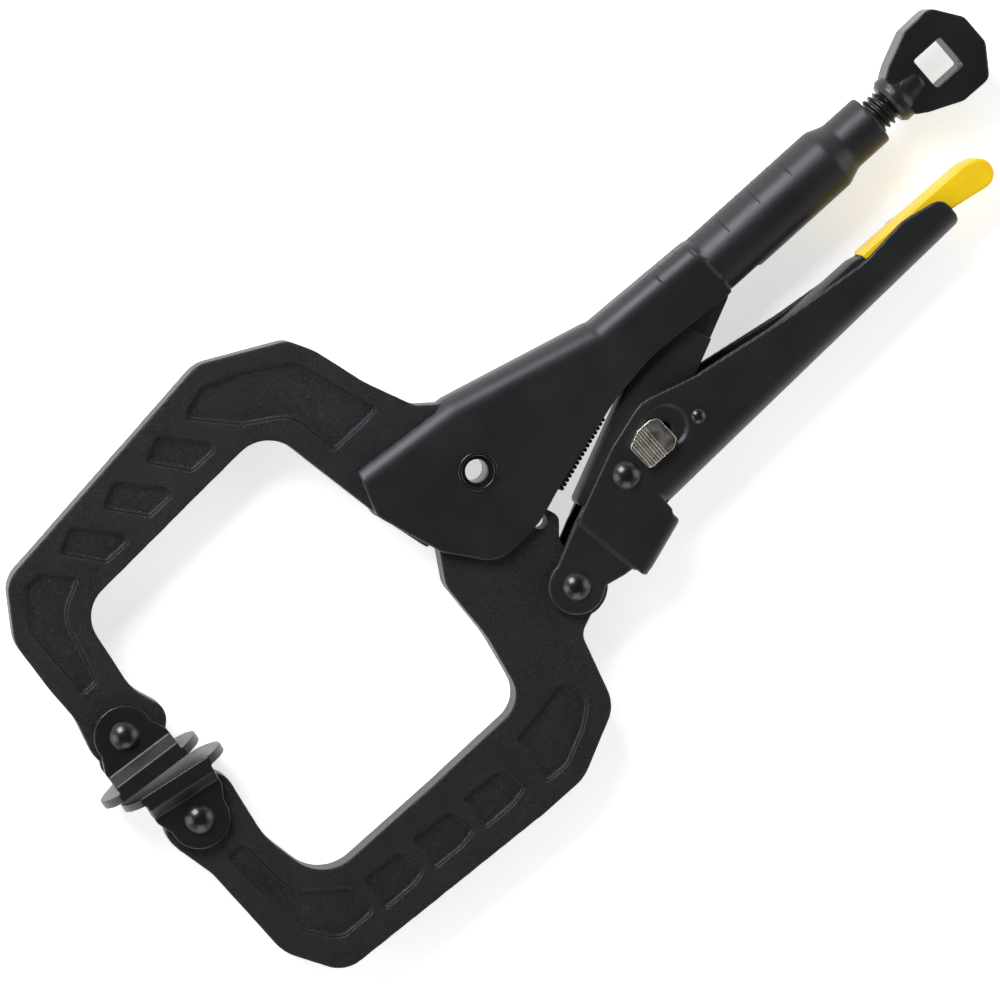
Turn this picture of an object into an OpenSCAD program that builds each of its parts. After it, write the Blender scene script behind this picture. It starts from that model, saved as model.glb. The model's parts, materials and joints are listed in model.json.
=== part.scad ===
// Locking C clamp: two forged C arms on a folded sheet body, closed by a toggle linkage
// and set by a threaded rod. Millimetres.
//
// Frame: the clamp lies flat. +X runs along the adjusting screw towards its ring head,
// +Y points from the lower handle towards the upper body, +Z is the pivot axis.
// The origin is the main pivot's axis at mid thickness.

/* [Body] */
// Thickness of the sheet steel of the body and the handle
sheet_t = 2.4; // [2.2:0.1:2.5]
// Outer width of the folded body
body_w = 15.2; // [15:0.1:15.6]
// Outer radius of the tube at the back of the body
tube_r = 8.7; // [8.4:0.1:9.2]
// Outer radius of the swaged neck that the screw runs in
neck_r = 7; // [6.8:0.1:7.4]

/* [Arms] */
// Thickness of the forged arms
arm_t = 9.6; // [9:0.2:9.8]
// Depth of the pockets forged into the arms' faces
pocket_depth = 1.3; // [0.8:0.1:1.6]

/* [Pads] */
// Length and diameter of the pressing plate of each swivel pad
pad_d = 29.2; // [26:0.2:30]
// Distance from a pad's rivet to its pressing face
pad_reach = 12.7; // [12.5:0.1:13]

/* [Handle] */
// Outer width of the handle
handle_w = 16.2; // [16:0.1:16.8]
// Sheet thickness of the handle
handle_t = 2; // [1.8:0.1:2.2]

/* [Screw] */
// Major diameter of the adjusting thread
screw_d = 9.525; // [9.4:0.025:9.6]
// Pitch of the adjusting thread
screw_pitch = 1.5875; // [1.25:0.0625:1.75]
// Side of the square drive hole in the ring head
drive_hole = 9; // [8:0.5:9.5]

/* [Hidden] */

eps = 0.01;
run_gap = 0.05;      // radial clearance of a pin in its hole
side_gap = 0.3;      // clearance between faces that slide past each other
lap = 0.05;          // step between joined faces that would otherwise coincide

// Joint axes
jaw_pivot = [0, 0];
handle_pivot = [-0.5, -38.6];
link_pivot = [27.35, -25.93];
link_tip = [80.4, -1.8];
lever_pivot = [50.7, -27];
upper_pad_pivot = [-109.6, 10];
lower_pad_pivot = [-109.5, -18];
upper_pad_tilt = -5;
lower_pad_tilt = -9.6;
axis_y = -1.6;          // the screw's axis

arm_h = arm_t / 2;
body_h = body_w / 2;
body_in = arm_h + side_gap;
handle_h = handle_w / 2;
handle_in = handle_h - handle_t;
nose_in = arm_h + side_gap;
nose_h = nose_in + handle_t;

hub_r = 14;             // movable jaw's hub round the main pivot
tube_out_r = 4.2;       // hollow pivot rivet
tube_in_r = 3;
rivet_r = 2.5;
small_rivet_r = 1.5;

steel = [0.16, 0.16, 0.17];
forged = [0.2, 0.2, 0.21];
rivet_black = [0.1, 0.1, 0.11];
silver = [0.8, 0.77, 0.72];
yellow = [0.95, 0.85, 0.1];

// ---------- outlines ----------

function unit(v) = v / norm(v);
function flat(p) = [p[0], p[1]];

// The round of radius p[2] at corner p, between its neighbours a and c
function corner(a, p, c) =
    let (u = unit(flat(a) - flat(p)), v = unit(flat(c) - flat(p)),
         half = acos(u * v) / 2,
         centre = flat(p) + unit(u + v) * p[2] / sin(half),
         start = flat(p) + u * p[2] / tan(half) - centre,
         turn = (u[0] * v[1] - u[1] * v[0] > 0 ? -1 : 1) * (180 - 2 * half),
         steps = max(2, ceil(abs(turn) / 8)))
    [for (i = [0 : steps])
        let (t = turn * i / steps)
        centre + [start[0] * cos(t) - start[1] * sin(t), start[0] * sin(t) + start[1] * cos(t)]];

// A closed outline from [x, y, round] corners
function rounded(pts) =
    let (n = len(pts))
    [for (i = [0 : n - 1])
        each pts[i][2] == 0 ? [flat(pts[i])]
                            : corner(pts[(i + n - 1) % n], pts[i], pts[(i + 1) % n])];

module plate(pts, half) {
    translate([0, 0, -half]) linear_extrude(2 * half) polygon(rounded(pts));
}

module at(p, z = 0) {
    translate([p[0], p[1], z]) children();
}

// Section of a folded edge: depth along x, width along y, both outer corners rounded
module fold_section(half, r, depth) {
    translate([r, -half]) square([depth - r, 2 * half]);
    translate([0, r - half]) square([depth, 2 * (half - r)]);
    for (s = [-1, 1]) translate([r, s * (half - r)]) circle(r, $fn = 64);
}

// A bar with that section whose folded edge runs from p to q, solid on the left of p-q
module fold_bar(p, q, half, r, depth, over = 40) {
    a = atan2(q[1] - p[1], q[0] - p[0]);
    at(p) rotate([0, 0, a + 90]) rotate([90, 0, 0]) translate([0, 0, -over])
        linear_extrude(norm(q - p) + 2 * over) fold_section(half, r, depth);
}

module bore(p, r, half) {
    at(p, -half) cylinder(h = 2 * half, r = r, $fn = 96);
}

// Domed head: a slice of a sphere of foot radius r and height h, foot at z = 0
module dome(r, h) {
    big = (r * r + h * h) / (2 * h);
    intersection() {
        translate([0, 0, h - big]) sphere(big, $fn = 96);
        translate([-r, -r, 0]) cube([2 * r, 2 * r, h]);
    }
}

// A rivet with a dome on each side of a stack of half thickness half
module rivet(p, shank, head, head_h, half) {
    bore(p, shank, half);
    for (s = [0, 1]) at(p) mirror([0, 0, s]) translate([0, 0, half]) dome(head, head_h);
}

// ---------- body ----------

roof_front = [-22.3, 21.4];
roof_knee = [6, 18.9];
roof_waist = [47, 8.4];
roof_back = [85, axis_y + tube_r];
roof_start = 2.4;       // the arm comes out of the open top in front of this
fold_r = 5.6;
fold_in_r = 3.2;
slot_end = 88;          // the link's slot in the floor of the tube
tip_room = 4.2;         // the slot's height above the tube's axis
spring_tab = [41, -4.6];
tube_start = 78;
tube_end = 119;
neck_start = 123.5;
neck_end = 134;
neck_bore_r = screw_d / 2 + 0.09;

shell_outline = [
    [roof_front[0], roof_front[1], 1.8], [-26.3, 8.5, 4], [-20.1, -9.3, 5], [-11, -21.1, 9],
    [3.2, -20.2, 12], [14.2, -16.4, 1.5], [38, -9.9, 20], [52, -7.9, 20], [tube_start, -9.5, 0],
    [tube_start, roof_back[1], 0], [roof_waist[0], roof_waist[1], 0],
    [roof_knee[0], roof_knee[1], 20]];

// Everything under the three straight runs of the roof, lowered by drop
module roof(half, r, drop) {
    down = [0, -drop];
    intersection() {
        fold_bar(roof_knee + down, roof_front + down, half, r, 80);
        fold_bar(roof_waist + down, roof_knee + down, half, r, 80);
    }
    intersection() {
        fold_bar(roof_back + down, roof_waist + down, half, r, 80, 20);
        translate([roof_waist[0] - 12, -60, -20]) cube([80, 120, 40]);
    }
}

module tube_solid(r, r_neck, from, to) {
    translate([0, axis_y, 0]) rotate([90, 0, 90]) rotate_extrude($fn = 128)
        polygon([[0, from], [r, from], [r, tube_end], [r_neck, neck_start], [r_neck, to], [0, to]]);
}

// The hollow of the folded body, with the tab left standing that the spring hooks on
module shell_hollow() {
    difference() {
        intersection() {
            roof(body_in, fold_in_r, sheet_t);
            translate([-55, -50, -18]) cube([55 + tube_start, 100, 36]);
        }
        at(spring_tab - [1, 1.5], -2) cube([2, 14, 4]);
    }
}

module upper_shell() {
    slot_h = body_in - 0.02;
    tip_slot_h = link_tip_h + side_gap;
    color(steel) difference() {
        union() {
            intersection() {
                plate(shell_outline, 20);
                roof(body_h, fold_r, 0);
            }
            difference() {
                tube_solid(tube_r, neck_r, tube_start - eps, neck_end);
                // inside of the tube, stopping where the neck grips the thread
                tube_solid(tube_r - sheet_t, neck_bore_r, tube_start - 1, neck_end + 1);
            }
        }
        shell_hollow();
        // open top for the arm
        translate([-60, 5, -slot_h]) cube([60 + roof_start, 60, 2 * slot_h]);
        // slot in the floor of the tube that the link's tip swings through
        translate([tube_start - 1, -20, -tip_slot_h])
            cube([slot_end - tube_start + 1, 20 + axis_y + tip_room, 2 * tip_slot_h]);
        bore(jaw_pivot, tube_out_r, 20);
    }
}

// Hollow rivet: section of the tube with a rolled lip and a flared mouth at each end
module pivot_tube() {
    flare_r = 4.15;
    lip_r = 5.1;
    lip_h = body_h + 0.45;
    out_r = tube_out_r - eps;
    color(rivet_black) rotate_extrude($fn = 96)
        polygon([[tube_in_r, body_h - 1.6], [flare_r, lip_h], [lip_r - 0.2, lip_h], [lip_r, body_h],
                 [out_r, body_h], [out_r, -body_h], [lip_r, -body_h], [lip_r - 0.2, -lip_h],
                 [flare_r, -lip_h], [tube_in_r, 1.6 - body_h]]);
}

// ---------- forged arms ----------

tip_r = 9.7;    // round end of an arm inside its pad
root_h = body_in;

fixed_outline = [
    [8.6, 14.4, 0], [4.4, 15, 0], [4.4, 18.6, 0], [-0.6, 22.6, 5], [-6.2, 35.5, 25],
    [-10.2, 49.6, 8], [-13.8, 56.2, 5], [-34.5, 66.8, 8], [-105.6, 58.3, 8], [-114.5, 45.4, 9],
    [-115.8, 30, 20], [-115.9, 21, 10], [-118.6, 11.5, 5], [-118, 3, 7], [-104, 1.4, 5],
    [-96.9, 7.6, 5], [-100.4, 17.2, 12], [-96.8, 40.2, 9], [-32.2, 43.6, 10], [-25.8, 8.2, 4],
    [-22, -6.2, 0.8], [-19.5, -6.3, 0], [-13.8, 3.9, 0], [0, 5, 0]];

corner_pocket = [
    [-46.2, 59.2, 1.5], [-37.4, 62, 3], [-28.6, 58.8, 5], [-16, 51.5, 4], [-8.2, 28.2, 1],
    [-22.9, 27.7, 1], [-25.4, 41.4, 8], [-36.2, 48.2, 1.5]];
end_pocket = [
    [-103.4, 54.2, 2.5], [-98, 54.5, 2], [-91.8, 47, 1], [-100.8, 42.4, 8], [-105.6, 24.5, 1],
    [-110.2, 24.4, 1], [-109.6, 45.4, 8]];
// One of the three window pockets, about its own middle
window_pocket = [[-7.6, 4.4, 1], [-1, 7.4, 1.5], [7.6, -2.6, 1.5], [7.2, -5.1, 0.6], [-0.2, -5.2, 0.6]];
window_at = [-52.7, 52.9];
window_step = [-15.5, -1.3];

module pocket(pts) {
    for (s = [0, 1]) mirror([0, 0, s]) translate([0, 0, arm_h - pocket_depth])
        linear_extrude(2) polygon(rounded(pts));
}

module fixed_jaw() {
    color(forged) difference() {
        union() {
            plate(fixed_outline, arm_h);
            intersection() {
                plate(fixed_outline, root_h);
                translate([-20, -20, -20]) cube([40, 35, 40]);
            }
        }
        bore(jaw_pivot, hub_r + 1.2, 20);
        bore(upper_pad_pivot, rivet_r, 20);
        pocket(corner_pocket);
        pocket(end_pocket);
        for (i = [0 : 2]) at(window_at + i * window_step) pocket(window_pocket);
    }
}

movable_outline = [
    [-13.3, 3.6, 0], [-20.9, -9.9, 0], [-24.9, -16.5, 6], [-25.6, -33, 25], [-29.4, -51.5, 8],
    [-60, -51.9, 0], [-97, -51.6, 11], [-100.5, -33, 20], [-97.3, -15, 6], [-100, -10.4, 4],
    [-119.5, -12, 7], [-118.6, -21, 5], [-116.4, -31, 10], [-116.4, -58, 12],
    [-108.2, -72.4, 9], [-45, -76.4, 0], [-31, -76.6, 12], [-13, -67.9, 9], [-7.3, -48.8, 4],
    [2, -45, 0], [8, -38.6, 0], [4, -29, 3], [4.6, -26.6, 2], [8.2, -22.6, 2.5], [6, -17, 2.5],
    [3, -13, 0]];
ear_hole = [3.6, -20.4];
boss_r = 8.3;

// Four window pockets of the movable jaw, and its corner and tip pockets
jaw_window = [[-6.2, 5.3, 1.5], [6, 4.3, 1.5], [7.4, -3.8, 1], [2.6, -4.8, 0.8], [-6.6, -4.4, 0.8]];
jaw_window_at = [-51.5, -64.6];
jaw_window_step = [-16.1, 0.9];
jaw_corner_pocket = [
    [-29.8, -56.3, 4], [-18.8, -54, 3], [-16, -61.5, 5], [-22.5, -66.8, 9], [-32, -71.2, 5],
    [-38.9, -70.8, 1], [-37.6, -57.4, 1.5]];
jaw_tip_pocket = [
    [-93.2, -56.9, 2], [-92.4, -65.6, 1.5], [-103.2, -65.4, 5], [-109.4, -57, 8],
    [-111, -30, 1.5], [-105.6, -30, 1.5], [-104.4, -48, 9]];

module movable_jaw() {
    color(forged) difference() {
        union() {
            plate(movable_outline, arm_h);
            bore(jaw_pivot, hub_r, arm_h);
            bore(handle_pivot, boss_r, arm_h);
        }
        bore(jaw_pivot, tube_out_r + run_gap, 20);
        bore(handle_pivot, rivet_r + run_gap, 20);
        bore(lower_pad_pivot, rivet_r, 20);
        bore(ear_hole, 2, 20);
        pocket(jaw_corner_pocket);
        pocket(jaw_tip_pocket);
        for (i = [0 : 2]) at(jaw_window_at + i * jaw_window_step) pocket(jaw_window);
    }
}

// ---------- swivel pads ----------

ear_in = arm_h + side_gap;
ear_h = ear_in + 2.3;
base_h = 10.6;          // half width of the pad's stepped base
base_x = 9.5;           // half length of the base
plate_t = 2.3;
step_low = 8.7;         // distance from the rivet to the step between ears and base
step_high = 6;
ear_r = 7.7;

// One side of the pad seen from its end: ear, sloping shoulder, base wall and plate
module pad_side() {
    polygon([[0, -pad_reach], [base_h - 1, -pad_reach], [base_h, 1 - pad_reach], [base_h, -step_low],
             [ear_h, -step_high], [ear_h, ear_r], [ear_in, ear_r], [ear_in, -pad_reach + plate_t],
             [0, -pad_reach + plate_t]]);
}

// A pad about its rivet, pressing face towards -Y
module pad() {
    difference() {
        union() {
            intersection() {
                translate([-base_x, 0, 0]) rotate([0, 90, 0]) linear_extrude(2 * base_x)
                    for (s = [0, 1]) mirror([s, 0]) pad_side();
                union() {
                    plate([[-base_x, -pad_reach, 0], [base_x, -pad_reach, 0], [base_x, -4.6, 2],
                           [ear_r - 0.3, 0, 0], [0, 3, 0], [0.3 - ear_r, 0, 0], [-base_x, -4.6, 2]], 20);
                    cylinder(h = 42, r = ear_r, center = true, $fn = 128);
                }
            }
            intersection() {
                rotate([-90, 0, 0]) translate([0, 0, -pad_reach])
                    cylinder(h = plate_t, r = pad_d / 2, $fn = 128);
                cube([pad_d + 1, 40, 2 * base_h], center = true);
            }
        }
        cylinder(h = 40, r = rivet_r + run_gap, center = true, $fn = 96);
    }
}

module upper_pad() {
    color(steel) at(upper_pad_pivot) rotate([0, 0, upper_pad_tilt]) pad();
}

module lower_pad() {
    color(steel) at(lower_pad_pivot) rotate([0, 0, 180 + lower_pad_tilt]) pad();
}

module pad_rivet(p) {
    color(rivet_black) rivet(p, rivet_r, 3.85, 2.1, ear_h + 0.1);
}

module upper_pad_rivet() {
    pad_rivet(upper_pad_pivot);
}

module lower_pad_rivet() {
    pad_rivet(lower_pad_pivot);
}

// ---------- handle ----------

spine_front = [29, -38.8];
spine_back = [134, -35.4];
toe_front = [14.2, -49];
toe_back = [30.2, -43.9];

handle_outline = [
    [10.4, -26.2, 1.5], [28.8, -18.2, 8], [42, -14.4, 9], [56.5, -18.7, 10], [84, -23.5, 30],
    [108, -26.3, 25], [122, -25, 12], [133.6, -27.4, 3.5], [133.6, -35.8, 2.5], [46, -38.4, 12],
    [29.6, -40.1, 1.5], [toe_back[0], toe_back[1], 1.2], [toe_front[0], toe_front[1], 1.5],
    [12.6, -40.2, 3]];
// The hollow of the channel: open to the body and at the back
handle_hollow = [
    [0, -60, 0], [0, -10, 0], [140, -10, 0], [140, -33, 0], [46, -36.2, 12], [31.6, -36.8, 2],
    [28, -42.5, 1], [17, -46.1, 1], [13, -60, 0]];
nose_outline = [
    [-5.6, -33.6, 3], [10.4, -26, 1], [20, -26, 0], [18, -45.2, 0], [10.8, -44.7, 1],
    [5, -43.4, 0], [-0.5, -38.6, 0]];
nose_r = 7.3;
bend_end = 14.5;
button_at = [37.6, -23.6];
button_travel = 4.5;

module handle_channel() {
    difference() {
        intersection() {
            plate(handle_outline, 20);
            union() {
                fold_bar(spine_front, spine_back, handle_h, 5, 60);
                intersection() {
                    fold_bar(toe_front, toe_back, handle_h - lap, 3, 60);
                    translate([0, -60, -20]) cube([30.4, 60, 40]);
                }
            }
        }
        plate(handle_hollow, handle_in);
    }
}

module handle_nose() {
    difference() {
        union() {
            plate(nose_outline, nose_h);
            bore(handle_pivot, nose_r, nose_h);
        }
        translate([-20, -60, -nose_in]) cube([60, 60, 2 * nose_in]);
        // stops inside the wider channel's bend
        translate([bend_end - 1, -60, -20]) cube([20, 60, 40]);
    }
}

module lower_handle() {
    slot_r = 1.8;
    color(steel) difference() {
        union() {
            handle_channel();
            handle_nose();
            // the bend that joins nose and channel walls
            intersection() {
                plate(handle_outline, handle_h - 2 * lap);
                for (s = [0, 1]) mirror([0, 0, s])
                    translate([bend_end - 4.5, -47.5, nose_in]) cube([4.5, 26, handle_h]);
            }
        }
        bore(handle_pivot, rivet_r, 20);
        bore(link_pivot, rivet_r, 20);
        bore(lever_pivot, small_rivet_r, 20);
        // dished recess and slot for the lock button
        at(button_at + [button_travel + 1, 0.2], handle_h - 0.7) cylinder(h = 2, r = 5.4, $fn = 96);
        for (x = [0, button_travel]) at(button_at + [x, 0]) cylinder(h = 20, r = slot_r, $fn = 64);
        at(button_at + [0, -slot_r]) cube([button_travel, 2 * slot_r, 20]);
    }
}

module handle_pivot_rivet() {
    color(rivet_black) rivet(handle_pivot, rivet_r, 3.7, 1.9, nose_h);
}

module toggle_rivet() {
    color(rivet_black) rivet(link_pivot, rivet_r, 3.7, 1.9, handle_h);
}

module lever_rivet() {
    color(rivet_black) rivet(lever_pivot, small_rivet_r, 1.95, 0.9, handle_h);
}

// ---------- toggle link ----------

link_len = norm(link_tip - link_pivot);
link_angle = atan2(link_tip[1] - link_pivot[1], link_tip[0] - link_pivot[0]);
link_tip_r = 3.4;
link_tip_h = 3;         // half thickness of its end
link_thin_from = 40;
link_outline = [
    [-11.6, 8.5, 1.5], [48, 8.2, 5], [link_len, link_tip_r, 2], [link_len + link_tip_r, 0, 3],
    [link_len, -link_tip_r, 2], [51.5, -6.3, 4], [-5, -6.3, 5], [-11.6, 0, 3]];

module toggle_link() {
    boss_h = handle_in - 0.2;
    color(steel) at(link_pivot) rotate([0, 0, link_angle]) difference() {
        union() {
            difference() {
                plate(link_outline, arm_h);
                // coined thinner where it runs into the tube
                for (s = [0, 1]) mirror([0, 0, s]) translate([link_thin_from, -20, link_tip_h])
                    cube([40, 40, 10]);
            }
            cylinder(h = 2 * boss_h, r = 5.6, center = true, $fn = 96);
        }
        cylinder(h = 40, r = rivet_r + run_gap, center = true, $fn = 96);
    }
}

// ---------- release lever ----------

lever_h = 4.8;
lever_outline = [
    [46.2, -29.5, 3], [47.3, -25.1, 2.5], [54.6, -21.4, 1.2], [58, -22.8, 2], [84, -24.6, 20],
    [106, -24.7, 2], [110, -25.7, 2], [142.5, -26.1, 3], [148.2, -28, 2.6], [147, -33.2, 2.8], [131, -30.7, 20],
    [104, -31.8, 20], [60, -33.4, 10]];
grip_outline = [
    [108.6, -24.6, 0.8], [143.5, -25.2, 4], [149.2, -27, 3.5], [148.2, -34.2, 3.9],
    [131, -31.2, 20], [109.8, -31.9, 0.8]];
grip_h = 5.5;

module release_lever() {
    color(steel) difference() {
        plate(lever_outline, lever_h);
        // hollow of the pressed lever, open towards the handle's spine
        plate([[62, -40, 0], [62, -27.6, 2], [84, -28, 20], [104, -27.4, 0], [104, -40, 0]], lever_h - 1.6);
        bore(lever_pivot, small_rivet_r + run_gap, 20);
    }
}

module lever_grip() {
    color(yellow) difference() {
        plate(grip_outline, grip_h);
        plate(lever_outline, lever_h);
    }
}

// ---------- lock button ----------

button_outline = [
    [-5, -4.8, 1.2], [3, -4.8, 1], [5.2, -3.4, 1.2], [5, 3.4, 1.5], [3, 4.6, 1], [-1, 4.6, 1],
    [-5.4, 2.6, 1.2]];
button_z = handle_h + 0.15;
button_top = 2.4;
stem_r = 1.6;

module lock_button() {
    rib_step = 1.5;
    color(silver) at(button_at, button_z) difference() {
        linear_extrude(button_top) polygon(rounded(button_outline));
        // ribs for the thumb
        for (i = [0 : 3]) translate([-4.4 + i * rib_step, -10, button_top - 0.45]) cube([0.7, 20, 2]);
        translate([0, 0, -eps]) cylinder(h = 1.2, r = stem_r - eps, $fn = 64);
    }
}

module lock_stem() {
    color(silver) at(button_at, handle_in - 0.9) cylinder(h = button_z + 1.1 - handle_in + 0.9, r = stem_r - 2 * eps, $fn = 64);
}

module lock_plate() {
    // slides inside the near wall and stands in the lever's way when locked
    color(steel) at(button_at, handle_in - 1.2) difference() {
        translate([-3.5, -3, 0]) cube([7.5, 6, 1]);
        translate([0, 0, -1]) cylinder(h = 3, r = stem_r - 2 * eps, $fn = 64);
    }
}

// ---------- adjusting screw ----------

screw_tip = link_tip[0] + link_tip_r + 3.3;
screw_shoulder = 139.4;
spigot_r = 3.2;
spigot_end = 146.6;

module adjusting_screw() {
    major = screw_d / 2;
    minor = major - 0.6 * screw_pitch;
    turns = floor((screw_shoulder - 0.4 - screw_tip - 3) / screw_pitch);
    first = screw_tip + 2;
    color(rivet_black) translate([0, axis_y, 0]) rotate([90, 0, 90]) rotate_extrude($fn = 96)
        polygon(concat(
            [[0, screw_tip], [2.4, screw_tip], [minor, screw_tip + 1.4]],
            [for (i = [0 : turns - 1], k = [0, 1])
                [k == 0 ? minor : major, first + (i + k / 2) * screw_pitch]],
            [[minor, first + turns * screw_pitch], [minor, screw_shoulder],
             [spigot_r, screw_shoulder], [spigot_r, spigot_end], [0, spigot_end]]));
}

ring_mid = 155.6;
ring_h = 5;
ring_end = 168.2;
ring_outline = [
    [142.6, -6, 0], [145.6, -7.9, 3], [154.2, -11.7, 3], [162.8, -11.9, 3], [ring_end, -4.2, 3],
    [ring_end, 4.2, 3], [162.8, 11.9, 3], [154.2, 11.7, 3], [145.6, 7.9, 3], [142.6, 6, 0]];

module drive_ring() {
    collar_r = 6.4;
    nose = screw_shoulder + 0.2;
    color(rivet_black) translate([0, axis_y, 0]) difference() {
        union() {
            plate(ring_outline, ring_h);
            rotate([90, 0, 90]) rotate_extrude($fn = 96)
                polygon([[0, nose], [collar_r - 1, nose], [collar_r, nose + 1.2], [collar_r, nose + 3],
                         [collar_r - 0.5, nose + 4.5], [5.4, ring_mid - 6.4], [0, ring_mid - 5.4]]);
        }
        rotate([90, 0, 90]) cylinder(h = spigot_end + 0.3, r = spigot_r + run_gap, $fn = 96);
        translate([ring_mid, 0, 0]) cube([drive_hole, drive_hole, 40], center = true);
    }
}

// ---------- return spring ----------

spring_r = 3.1;
wire_r = 0.6;
coil_start = [12.2, -16.5];
coil_end = [32.6, -10];
spring_hook = [7.7, -18];     // just outside the hole in the jaw's ear

module rod(p, q, r) {
    a = atan2(q[1] - p[1], q[0] - p[0]);
    at(p) rotate([0, 90, a]) cylinder(h = norm(q - p), r = r, $fn = 32);
}

// The coil's outer shape with a straight hook leg at each end
module return_spring() {
    color(steel) union() {
        rod(coil_start, coil_end, spring_r);
        rod(spring_hook, coil_start + [0.5, 0.2], wire_r);
        rod(coil_end - [0.5, 0.2], spring_tab - [1.7, 1.2], wire_r);
    }
}

// ---------- parts ----------

upper_shell();
fixed_jaw();
pivot_tube();
movable_jaw();
handle_pivot_rivet();
lower_handle();
toggle_link();
toggle_rivet();
release_lever();
lever_grip();
lever_rivet();
lock_button();
lock_stem();
lock_plate();
adjusting_screw();
drive_ring();
return_spring();
upper_pad();
upper_pad_rivet();
lower_pad();
lower_pad_rivet();
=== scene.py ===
"""The looks of the locking C clamp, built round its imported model. Metres, in the model's frame."""
import json
import math

import bmesh
import bpy
from mathutils import Matrix, Vector, noise
from mathutils.bvhtree import BVHTree


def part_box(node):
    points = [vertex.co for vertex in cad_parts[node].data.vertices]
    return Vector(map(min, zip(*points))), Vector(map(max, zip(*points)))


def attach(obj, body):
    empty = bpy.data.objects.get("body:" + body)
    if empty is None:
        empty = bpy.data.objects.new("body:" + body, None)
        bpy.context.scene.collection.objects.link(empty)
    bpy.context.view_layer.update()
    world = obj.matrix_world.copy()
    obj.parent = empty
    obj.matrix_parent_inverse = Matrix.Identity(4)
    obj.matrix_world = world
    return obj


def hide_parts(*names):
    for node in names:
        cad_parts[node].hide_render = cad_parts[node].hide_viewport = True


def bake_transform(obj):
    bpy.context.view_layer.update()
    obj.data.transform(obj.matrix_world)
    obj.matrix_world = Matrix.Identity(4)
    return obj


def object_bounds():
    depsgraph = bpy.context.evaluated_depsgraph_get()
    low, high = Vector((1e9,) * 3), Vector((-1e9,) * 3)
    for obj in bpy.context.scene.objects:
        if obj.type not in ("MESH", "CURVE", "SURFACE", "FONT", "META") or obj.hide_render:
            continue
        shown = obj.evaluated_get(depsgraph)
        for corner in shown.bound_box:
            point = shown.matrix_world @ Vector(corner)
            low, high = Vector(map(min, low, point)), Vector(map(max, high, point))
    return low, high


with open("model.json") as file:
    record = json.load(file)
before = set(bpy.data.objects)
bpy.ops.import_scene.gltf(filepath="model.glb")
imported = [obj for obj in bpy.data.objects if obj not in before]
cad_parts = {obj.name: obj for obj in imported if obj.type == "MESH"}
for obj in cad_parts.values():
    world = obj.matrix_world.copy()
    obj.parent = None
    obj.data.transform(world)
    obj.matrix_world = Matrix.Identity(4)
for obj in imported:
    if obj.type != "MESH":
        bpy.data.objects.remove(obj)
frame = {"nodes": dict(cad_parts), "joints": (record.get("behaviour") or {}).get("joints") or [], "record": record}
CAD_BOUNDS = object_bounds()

MM = 0.001
SCENE = bpy.context.scene
PIVOT = {j["name"]: Vector(j["pos_m"]) for j in frame["joints"] if "pos_m" in j}
BODY_OF = {
    node: body
    for body, nodes in frame["record"]["behaviour"]["bodies"].items()
    for node in nodes
}
SLOT_OF = {part["node"]: part["material_slot"] for part in frame["record"]["subparts"]}


# ---------- materials ----------

def add(tree, kind, settings=None, **inputs):
    """One shader node: settings are its properties, inputs are values or sockets to link."""
    made = tree.nodes.new("ShaderNode" + kind)
    for key, value in (settings or {}).items():
        setattr(made, key, value)
    for key, value in inputs.items():
        socket = made.inputs[key.replace("_", " ")]
        if isinstance(value, bpy.types.NodeSocket):
            tree.links.new(value, socket)
        else:
            socket.default_value = value
    return made


def new_tree(name):
    material = bpy.data.materials.new(name)
    material.use_nodes = True
    material.node_tree.nodes.clear()
    return material, material.node_tree


def noise_at(tree, size, detail=2.0, stretch=(1, 1, 1)):
    """Noise whose features are about size metres across."""
    place = add(tree, "TexCoord").outputs["Object"]
    place = add(tree, "Mapping", Vector=place, Scale=stretch).outputs[0]
    return add(tree, "TexNoise", Vector=place, Scale=1 / size, Detail=detail).outputs["Fac"]


def between(tree, value, low, high, to_low=0.0, to_high=1.0):
    made = add(tree, "MapRange", Value=value)
    made.inputs["From Min"].default_value = low
    made.inputs["From Max"].default_value = high
    made.inputs["To Min"].default_value = to_low
    made.inputs["To Max"].default_value = to_high
    return made.outputs[0]


def times(tree, a, b):
    made = tree.nodes.new("ShaderNodeMath")
    made.operation = "MULTIPLY"
    tree.links.new(a, made.inputs[0])
    tree.links.new(b, made.inputs[1])
    return made.outputs[0]


def blend_colour(tree, share, first, second):
    return add(tree, "MixRGB", Fac=share, Color1=first, Color2=second).outputs[0]


def grey(level, warmth=0.0):
    return (level * (1 + warmth), level, level * (1 - warmth), 1)


def scaled(colour, share):
    return tuple(c * share for c in colour[:3]) + (1,)


def finished(material, tree, finish):
    """The material with finish as its surface."""
    out = tree.nodes.new("ShaderNodeOutputMaterial")
    tree.links.new(finish.outputs[0], out.inputs[0])
    return material


def edges(tree, radius):
    """1 on edges and 0 on flats, from how far a rounded normal leans from the true one."""
    flat, edge = 0.985, 0.86
    rounded = add(tree, "Bevel", {"samples": 4}, Radius=radius).outputs[0]
    true = add(tree, "NewGeometry").outputs["Normal"]
    lean = tree.nodes.new("ShaderNodeVectorMath")
    lean.operation = "DOT_PRODUCT"
    tree.links.new(rounded, lean.inputs[0])
    tree.links.new(true, lean.inputs[1])
    return between(tree, lean.outputs["Value"], flat, edge)


# Coated metal: how wide its patches, rubbed spots and dents are, its rubbed edges, and its dents' depth
PATCH, RUB, DENT = 14 * MM, 3 * MM, 5 * MM
EDGE_WIDTH = 0.35 * MM
DENT_DEPTH = 0.05 * MM
# The patches' shares of the colour asked for
PATCH_DARK, PATCH_LIGHT = 0.85, 1.15


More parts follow.
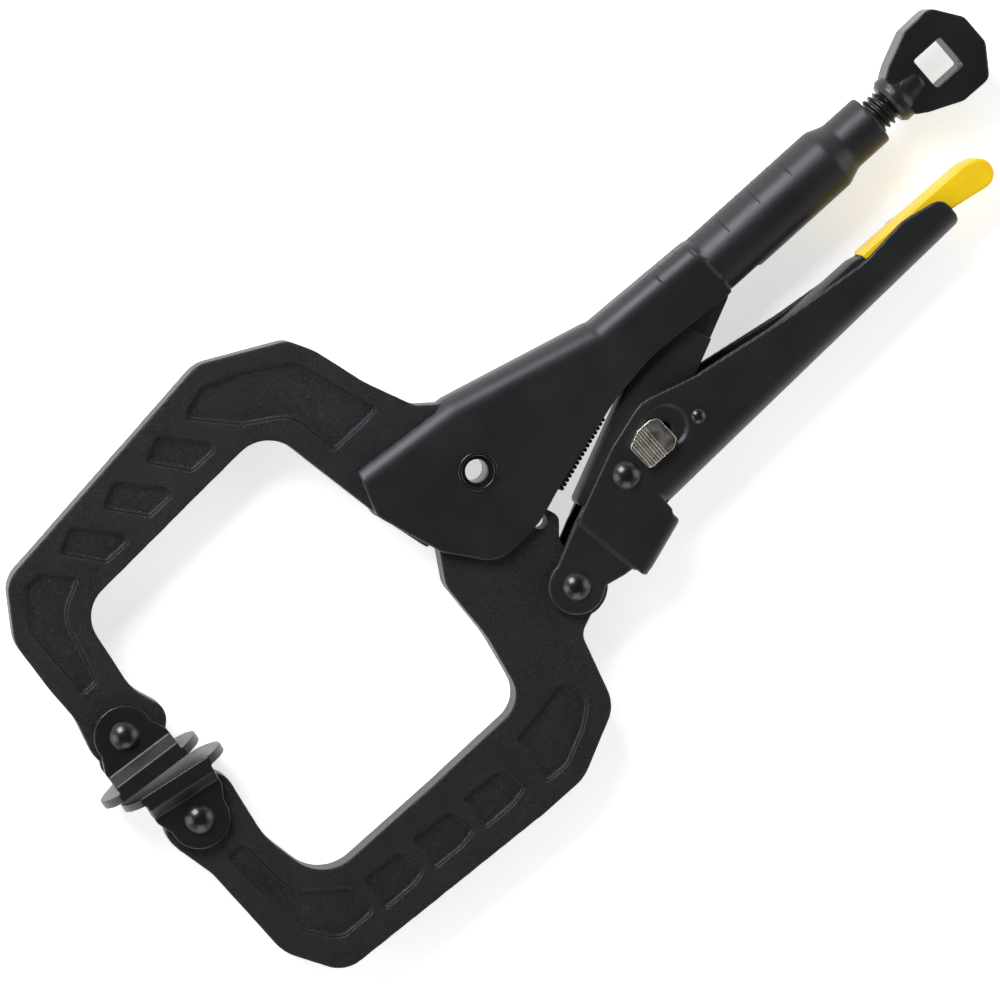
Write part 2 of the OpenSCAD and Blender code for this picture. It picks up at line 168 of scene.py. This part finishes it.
def coated(slot, colour, worn_and_glint, rough, grain, depth, painted_glint_share=0.0, wear=0.5, specular=0.5, coat=0.0):
    """Metal under black: patchy, grainy, with light specks painted in as glints off the grain, and rubbed edges.
    """
    material, tree = new_tree(slot)
    patches = noise_at(tree, PATCH, 4)
    fine = noise_at(tree, grain, 2)
    dark, light = scaled(colour, PATCH_DARK), scaled(colour, PATCH_LIGHT)
    base = blend_colour(tree, between(tree, patches, 0.35, 0.65), dark, light)
    # Painted glints: light specks put into the colour where the fine grain noise peaks, standing in for sparkle
    # off the grain; the same noise also bumps the surface
    painted_glint_mask = between(tree, fine, 0.6, 0.75, 0, painted_glint_share)
    base = blend_colour(tree, painted_glint_mask, base, worn_and_glint)
    rubbed_spots = between(tree, noise_at(tree, RUB, 5), 0.5, 0.72, 0, wear)
    rubbed = times(tree, edges(tree, EDGE_WIDTH), rubbed_spots)
    base = blend_colour(tree, rubbed, base, worn_and_glint)
    height = add(tree, "Bump", Height=fine, Distance=depth, Strength=1.0).outputs[0]
    dents = noise_at(tree, DENT, 3)
    soft = add(tree, "Bump", Height=dents, Distance=DENT_DEPTH, Normal=height).outputs[0]
    finish = add(tree, "BsdfPrincipled", Base_Color=base, Normal=soft)
    finish.inputs["Specular IOR Level"].default_value = specular
    finish.inputs["Coat Weight"].default_value = coat
    finish.inputs["Coat Roughness"].default_value = 0.2
    roughness = between(tree, patches, 0.3, 0.7, rough - 0.02, rough + 0.03)
    tree.links.new(roughness, finish.inputs["Roughness"])
    return finished(material, tree, finish)


def plated(slot, colour, rough):
    """Bright plated steel with fine brushing and darker grime in patches."""
    material, tree = new_tree(slot)
    brushing = noise_at(tree, 0.25 * MM, 3, (0.06, 1, 1))
    grime = noise_at(tree, 2.2 * MM, 5)
    base = blend_colour(tree, between(tree, grime, 0.55, 0.8), colour, scaled(colour, 0.55))
    height = add(tree, "Bump", Height=brushing, Distance=0.02 * MM).outputs[0]
    finish = add(tree, "BsdfPrincipled", Base_Color=base, Normal=height, Metallic=1.0)
    tree.links.new(between(tree, grime, 0.35, 0.75, rough, rough + 0.2), finish.inputs["Roughness"])
    return finished(material, tree, finish)


def dipped(slot, colour):
    """Soft dipped plastic: even, a little waxy, with fine scuffs."""
    material, tree = new_tree(slot)
    clouds = noise_at(tree, 9 * MM, 3)
    scuffs = noise_at(tree, 0.6 * MM, 4, (0.3, 1, 1))
    deep = (colour[0] * 0.93, colour[1] * 0.86, colour[2], 1)
    base = blend_colour(tree, between(tree, clouds, 0.35, 0.7), colour, deep)
    height = add(tree, "Bump", Height=scuffs, Distance=0.03 * MM, Strength=0.6).outputs[0]
    finish = add(tree, "BsdfPrincipled", Base_Color=base, Normal=height)
    finish.inputs["Subsurface Weight"].default_value = 0.08
    finish.inputs["Subsurface Radius"].default_value = (0.002, 0.0015, 0.0005)
    finish.inputs["Subsurface Scale"].default_value = 1.0
    tree.links.new(between(tree, scuffs, 0.3, 0.8, 0.34, 0.5), finish.inputs["Roughness"])
    return finished(material, tree, finish)


LOOKS = {
    "sheet_black": coated(
        "sheet_black", grey(0.010, -0.05), worn_and_glint=grey(0.08), rough=0.42, grain=0.9 * MM,
        depth=0.012 * MM, wear=0.2),
    # The forging's light specks are painted glints on its grain
    "forged_black": coated(
        "forged_black", grey(0.008, -0.06), worn_and_glint=grey(0.16, -0.03), rough=0.42, grain=0.3 * MM,
        depth=0.17 * MM, painted_glint_share=0.35, wear=0.4, specular=0.4),
    "rivet_black": coated(
        "rivet_black", grey(0.008), worn_and_glint=grey(0.08), rough=0.26, grain=0.8 * MM,
        depth=0.01 * MM, wear=0.15, coat=0.3),
    "thread_black": coated(
        "thread_black", grey(0.010), worn_and_glint=grey(0.14), rough=0.33, grain=0.5 * MM,
        depth=0.02 * MM, wear=0.8),
    # The ring's few light specks are painted glints
    "ring_black": coated(
        "ring_black", grey(0.009), worn_and_glint=grey(0.10), rough=0.34, grain=0.6 * MM,
        depth=0.09 * MM, painted_glint_share=0.1, wear=0.3),
    "pad_black": coated(
        "pad_black", grey(0.009, -0.05), worn_and_glint=grey(0.1), rough=0.34, grain=0.7 * MM,
        depth=0.02 * MM, wear=0.15),
    "spring_steel": coated(
        "spring_steel", grey(0.02), worn_and_glint=grey(0.2), rough=0.35, grain=0.5 * MM, depth=0.01 * MM),
    "button_silver": plated("button_silver", (0.74, 0.70, 0.62, 1), rough=0.24),
    "grip_yellow": dipped("grip_yellow", (0.95, 0.64, 0.006, 1)),
}


# ---------- meshes ----------

def placed(name, mesh, slot):
    """A new object with the slot's finish."""
    made = bpy.data.objects.new(name, mesh)
    SCENE.collection.objects.link(made)
    made.data.materials.append(LOOKS[slot])
    return made


def show(name, mesh, node):
    """A visible piece that stands for node, and rides and is finished as it is."""
    made = placed(name, mesh, SLOT_OF[node])
    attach(made, BODY_OF[node])
    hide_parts(node)
    return made


def softened(node, width, segments=3, sharp=30):
    """The node's own shape with its sharp edges rounded over. sharp is in degrees."""
    weld, flat = 1e-6, math.radians(0.4)
    work = bmesh.new()
    work.from_mesh(frame["nodes"][node].data)
    bmesh.ops.remove_doubles(work, verts=work.verts, dist=weld)
    bmesh.ops.dissolve_limit(work, angle_limit=flat, verts=work.verts, edges=work.edges)
    corners = [e for e in work.edges if e.calc_face_angle(0) > math.radians(sharp)]
    bmesh.ops.bevel(work, geom=corners, offset=width, offset_type="OFFSET", segments=segments,
                    profile=0.5, affect="EDGES", clamp_overlap=True)
    bmesh.ops.recalc_face_normals(work, faces=work.faces)
    mesh = bpy.data.meshes.new(node + "_soft")
    work.to_mesh(mesh)
    work.free()
    shade(mesh)
    return mesh


def shade(mesh, sharp=35):
    mesh.polygons.foreach_set("use_smooth", [True] * len(mesh.polygons))
    mesh.set_sharp_from_angle(angle=math.radians(sharp))


def flowed(mesh, voxel, rounds, waves=0.0):
    """The mesh with its walls joined and every edge run together, as pressing or forging leaves it.

    waves is the scale of an uneven skin, which lies mostly under the true one.
    """
    broad, small, small_share, sunk = 7 * MM, 2.2 * MM, 0.4, 0.6
    work = bpy.data.objects.new("work", mesh)
    SCENE.collection.objects.link(work)
    remesh = work.modifiers.new("remesh", "REMESH")
    remesh.mode = "VOXEL"
    remesh.voxel_size = voxel
    smooth = work.modifiers.new("smooth", "SMOOTH")
    smooth.factor = 0.5
    smooth.iterations = rounds
    evaluated = work.evaluated_get(bpy.context.evaluated_depsgraph_get())
    made = bpy.data.meshes.new_from_object(evaluated)
    bpy.data.objects.remove(work)
    if waves:
        places = [v.co.copy() for v in made.vertices]
        outward = [n.vector.copy() for n in made.vertex_normals]
        for v, place, out in zip(made.vertices, places, outward):
            lift = noise.noise(place / broad) + small_share * noise.noise(place / small)
            v.co = place + out * (lift - sunk) * waves
    made.polygons.foreach_set("use_smooth", [True] * len(made.polygons))
    return made


def mesh_of(name, points, faces):
    mesh = bpy.data.meshes.new(name)
    mesh.from_pydata([tuple(p) for p in points], [], faces)
    mesh.validate()
    shade(mesh)
    return mesh


def skin_faces(rows, sides, start=0):
    """Faces between rows of sides points each, from point start, with a face over each end."""
    faces = []
    for i in range(rows - 1):
        for k in range(sides):
            a = start + i * sides + k
            b = start + i * sides + (k + 1) % sides
            faces.append((a, b, b + sides, a + sides))
    faces.append(tuple(start + k for k in range(sides - 1, -1, -1)))
    faces.append(tuple(start + (rows - 1) * sides + k for k in range(sides)))
    return faces


def lathe(name, profile, sides, place):
    """A profile of (radius, height) turned about Z; place takes it into the frame."""
    points = []
    for radius, height in profile:
        for k in range(sides):
            turn = 2 * math.pi * k / sides
            points.append(place @ Vector((radius * math.cos(turn), radius * math.sin(turn), height)))
    return mesh_of(name, points, skin_faces(len(profile), sides))


def tube_along(name, path, radius, sides=12):
    """A round wire along path, with closed ends."""
    points = []
    side = Vector((0, 0, 1))
    for i, p in enumerate(path):
        ahead = (path[min(i + 1, len(path) - 1)] - path[max(i - 1, 0)]).normalized()
        side = (side - ahead * side.dot(ahead)).normalized()
        other = ahead.cross(side)
        for k in range(sides):
            turn = 2 * math.pi * k / sides
            points.append(p + radius * (math.cos(turn) * side + math.sin(turn) * other))
    return mesh_of(name, points, skin_faces(len(path), sides))


# ---------- body ----------

def shell():
    mesh = flowed(softened("upper_shell", 0.5 * MM), voxel=0.4 * MM, rounds=12)
    return show("body_shell", mesh, "upper_shell")


def scale_marks(shell_piece):
    """Raised ruler marks from the tube's +Y side round towards its face, following its skin."""
    axis_y = PIVOT["ring_spin"].y
    first, last, step = 66 * MM, 112 * MM, 2.65 * MM
    half_w, rise, sink = 0.42 * MM, 0.42 * MM, 0.12 * MM
    root = 2.5 * sink
    outside = 30 * MM
    # Degrees round the tube: how far past +Y a mark starts, and how far each length of mark reaches
    lead, long, middle, short = 4, 62, 40, 26
    stops, blunt = 9, 0.6
    skin = BVHTree.FromObject(shell_piece, bpy.context.evaluated_depsgraph_get())
    points, faces = [], []

    def on_skin(x, turn, lift):
        out = Vector((0, math.cos(turn), math.sin(turn)))
        hit = skin.ray_cast(Vector((x, axis_y, 0)) + out * outside, -out)[0]
        return hit + out * lift

    for i in range(int((last - first) / step) + 1):
        x = first + i * step
        reach = long if i % 4 == 0 else middle if i % 2 == 0 else short
        start = len(points)
        for k in range(stops):
            turn = math.radians(-lead + (reach + lead) * k / (stops - 1))
            crest = rise * math.sin(math.pi * (k + blunt) / (stops - 1 + 2 * blunt))
            points += [on_skin(x - half_w, turn, -sink), on_skin(x, turn, crest),
                       on_skin(x + half_w, turn, -sink), on_skin(x, turn, -root)]
        faces += skin_faces(stops, 4, start)
    made = placed("tube_scale_marks", mesh_of("tube_scale_marks", points, faces), "sheet_black")
    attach(made, "body")


def main_rivet():
    show("main_hollow_rivet", softened("pivot_tube", 0.18 * MM), "pivot_tube")


# How far each rivet's head stands up
HEAD_RISE = {
    "handle_pivot_rivet": 1.9 * MM, "toggle_rivet": 1.9 * MM, "lever_rivet": 0.9 * MM,
    "upper_pad_rivet": 2.1 * MM, "lower_pad_rivet": 2.1 * MM,
}


def rivet(name, node, centre):
    """A domed rivet as tall and wide as its CAD node, its heads rolled under at the rim."""
    low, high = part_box(node)
    head = (high.x - low.x) / 2
    top = high.z
    rise = HEAD_RISE[node]
    shank = head * 0.6
    rolled_in, rolled_down = head * 0.98, 0.12 * MM
    steps, sides, tip = 14, 64, 0.02 * MM
    dome = []
    ball = (head * head + rise * rise) / (2 * rise)
    for k in range(steps + 1):
        radius = head * math.sin(math.pi / 2 * k / steps)
        lift = math.sqrt(ball * ball - radius * radius) - (ball - rise)
        dome.append((max(radius, tip), top - rise + lift))
    rim = [(head, top - rise), (rolled_in, top - rise - rolled_down), (shank, top - rise - rolled_down)]
    upper = dome + rim
    profile = upper + [(r, -z) for r, z in reversed(upper)]
    profile.reverse()
    show(name, lathe(name, profile, sides, Matrix.Translation(centre)), node)


# ---------- arms, pads ----------

def forging(name, node):
    show(name, flowed(softened(node, 0.5 * MM), voxel=0.36 * MM, rounds=2, waves=0.05 * MM), node)


def pad(name, node):
    show(name, flowed(softened(node, 0.75 * MM), voxel=0.25 * MM, rounds=4), node)


# ---------- screw ----------

def screw():
    """The adjusting screw with a true right-hand helix."""
    low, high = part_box("adjusting_screw")
    centre_y = (low.y + high.y) / 2
    major = (high.y - low.y) / 2
    pitch, depth = 1.5875 * MM, 0.95 * MM
    # Shares of the pitch from a crest's middle: where its flat ends, and where the root's begins
    crest_to, root_from = 0.125, 0.375
    # The thread fades in from a thinner tip, and out before the shoulder
    fade_in, fade_out, tip_share = 3 * MM, 0.8 * MM, 0.7
    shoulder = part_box("drive_ring")[0].x - 0.25 * MM
    spigot, chamfer = 3.15 * MM, 0.3 * MM
    sides, rows_a_turn = 48, 10
    rows = int((shoulder - low.x) / pitch * rows_a_turn)
    points = []

    def put(x, radius, k):
        turn = 2 * math.pi * k / sides
        points.append(Vector((x, centre_y + radius * math.cos(turn), radius * math.sin(turn))))

    for i in range(rows + 1):
        x = low.x + (shoulder - low.x) * i / rows
        run_in = min(1, (x - low.x) / fade_in)
        run_out = min(1, (shoulder - x) / fade_out)
        for k in range(sides):
            phase = ((x - low.x) / pitch - k / sides) % 1
            flank = min(1, max(0, (root_from - abs(phase - 0.5)) / (root_from - crest_to)))
            thread = major - depth * (1 - flank * run_out)
            put(x, thread * (tip_share + (1 - tip_share) * run_in), k)
    ends = [(spigot, shoulder), (spigot, high.x - chamfer), (spigot - chamfer, high.x)]
    for radius, x in ends:
        for k in range(sides):
            put(x, radius, k)
    faces = skin_faces(rows + 1 + len(ends), sides)
    show("threaded_screw", mesh_of("threaded_screw", points, faces), "adjusting_screw")


def ring():
    rounded = softened("drive_ring", 1.7 * MM, segments=1)
    mesh = flowed(rounded, voxel=0.3 * MM, rounds=2, waves=0.04 * MM)
    show("forged_ring_head", mesh, "drive_ring")


# ---------- return spring ----------

def spring():
    """The coil spring between the jaw's ear and the body's tab, with a plain lead at each end."""
    ear, tab = Vector((4.6, -19.6, 0)) * MM, Vector((40.4, -5.6, 0)) * MM
    start, end = Vector((12.2, -16.5, 0)) * MM, Vector((32.6, -10, 0)) * MM
    wire, coil_r, turns, steps = 0.55 * MM, 2.5 * MM, 17, 22
    ahead = (end - start).normalized()
    side = Vector((0, 0, 1)).cross(ahead)
    up = Vector((0, 0, 1))
    path = [ear, ear.lerp(start, 0.45), ear.lerp(start, 0.8) + side * 0.8 * MM]
    for i in range(turns * steps + 1):
        share = i / (turns * steps)
        turn = 2 * math.pi * i / steps
        grow = min(1, i / (steps / 2), (turns * steps - i) / (steps / 2) + 0.2)
        path.append(start.lerp(end, share) + coil_r * grow * (math.cos(turn) * side + math.sin(turn) * up))
    path += [end.lerp(tab, 0.35), end.lerp(tab, 0.7), tab]
    made = placed("return_spring_coil", tube_along("return_spring_coil", path, wire), "spring_steel")
    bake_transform(made)
    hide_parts("return_spring")


# ---------- handle ----------

def handle():
    channel = flowed(softened("lower_handle", 0.45 * MM), voxel=0.4 * MM, rounds=6)
    show("handle_channel", channel, "lower_handle")
    show("strut_link", softened("toggle_link", 0.6 * MM), "toggle_link")
    show("release_lever_plate", softened("release_lever", 0.6 * MM), "release_lever")
    grip = flowed(softened("lever_grip", 1.3 * MM, segments=4), voxel=0.35 * MM, rounds=10)
    show("dipped_grip", grip, "lever_grip")
    button = flowed(softened("lock_button", 0.3 * MM), voxel=0.11 * MM, rounds=4)
    show("thumb_button", button, "lock_button")
    show("button_stem", softened("lock_stem", 0.15 * MM), "lock_stem")
    show("button_back_plate", softened("lock_plate", 0.15 * MM), "lock_plate")


shell_piece = shell()
scale_marks(shell_piece)
main_rivet()
forging("upper_arm_forging", "fixed_jaw")
forging("lower_arm_forging", "movable_jaw")
pad("upper_swivel_pad", "upper_pad")
pad("lower_swivel_pad", "lower_pad")
rivet("handle_rivet_domed", "handle_pivot_rivet", PIVOT["handle_pivot"])
rivet("link_rivet_domed", "toggle_rivet", PIVOT["link_pivot"])
rivet("lever_rivet_domed", "lever_rivet", PIVOT["lever_pivot"])
rivet("upper_pad_rivet_domed", "upper_pad_rivet", PIVOT["upper_pad_swivel"])
rivet("lower_pad_rivet_domed", "lower_pad_rivet", PIVOT["lower_pad_swivel"])
screw()
ring()
spring()
handle()


# ---------- stage ----------

def floor():
    """A pale floor under the part, which gives some light of its own."""
    half = 4
    z = CAD_BOUNDS[0][2]
    corners = [(-half, -half, z), (half, -half, z), (half, half, z), (-half, half, z)]
    mesh = bpy.data.meshes.new("floor")
    mesh.from_pydata(corners, [], [(0, 1, 2, 3)])
    made = bpy.data.objects.new("floor", mesh)
    SCENE.collection.objects.link(made)
    material, tree = new_tree("floor")
    tone = blend_colour(tree, noise_at(tree, 0.4, 2), grey(0.86), grey(0.9))
    finish = add(tree, "BsdfPrincipled", Base_Color=tone, Roughness=0.9)
    finish.inputs["Specular IOR Level"].default_value = 0.1
    finish.inputs["Emission Color"].default_value = grey(1.0)
    finish.inputs["Emission Strength"].default_value = 0.62
    mesh.materials.append(finished(material, tree, finish))


# The view's right and up, in the floor's plane
VIEW_RIGHT = Vector((0.749, -0.6626, 0))
VIEW_UP = Vector((0.6626, 0.749, 0))
# The camera leans this far from straight overhead, towards the upper left of its view
LEAN = math.radians(9.5)
LEAN_TO = Vector((-0.373, 0.927, 0))
TARGET = Vector((-0.6, -9, 8)) * MM
VIEW_WIDTH = 250 * MM
DISTANCE = 1.6
SENSOR_WIDTH = 36


def aimed(made, place, target, up):
    """Puts made at place, looking at target."""
    back = (place - target).normalized()
    right = up.cross(back).normalized()
    turned = Matrix((right, back.cross(right), back)).transposed().to_4x4()
    made.matrix_world = Matrix.Translation(place) @ turned


def camera():
    lens = bpy.data.cameras.new("camera")
    lens.sensor_width = SENSOR_WIDTH
    lens.lens = SENSOR_WIDTH * DISTANCE / VIEW_WIDTH
    lens.clip_end = 20
    made = bpy.data.objects.new("camera", lens)
    SCENE.collection.objects.link(made)
    away = LEAN_TO * math.sin(LEAN) + Vector((0, 0, math.cos(LEAN)))
    aimed(made, TARGET + away * DISTANCE, TARGET, VIEW_UP)
    SCENE.camera = made


def light(name, right, up, over, size, power, colour=(1, 1, 1)):
    """A square softbox, placed along the view's right and up and over the floor."""
    lamp = bpy.data.lights.new(name, "AREA")
    lamp.size = size
    lamp.energy = power
    lamp.color = colour
    made = bpy.data.objects.new(name, lamp)
    SCENE.collection.objects.link(made)
    place = TARGET + VIEW_RIGHT * right + VIEW_UP * up + Vector((0, 0, over))
    aimed(made, place, TARGET, Vector((0, 0, 1)))


def surroundings():
    """Pale towards the horizon and dim overhead, so that black faces stay black."""
    world = bpy.data.worlds.new("studio")
    world.use_nodes = True
    tree = world.node_tree
    tree.nodes.clear()
    height = add(tree, "SeparateXYZ", Vector=add(tree, "TexCoord").outputs["Generated"]).outputs["Z"]
    tone = blend_colour(tree, between(tree, height, 0.1, 0.75), grey(0.85), grey(0.025))
    back = add(tree, "Background", Color=tone, Strength=1.0)
    out = tree.nodes.new("ShaderNodeOutputWorld")
    tree.links.new(back.outputs[0], out.inputs[0])
    SCENE.world = world


floor()
camera()
light("key", right=-0.7, up=0.85, over=0.85, size=0.7, power=21, colour=(0.9, 0.93, 1.0))
light("left", right=-1.1, up=-0.3, over=0.5, size=0.8, power=4)
light("right", right=1.1, up=0.2, over=0.55, size=0.8, power=3)
light("low", right=0.1, up=-1.1, over=0.55, size=0.8, power=3)
surroundings()
SCENE.view_settings.view_transform = "Standard"
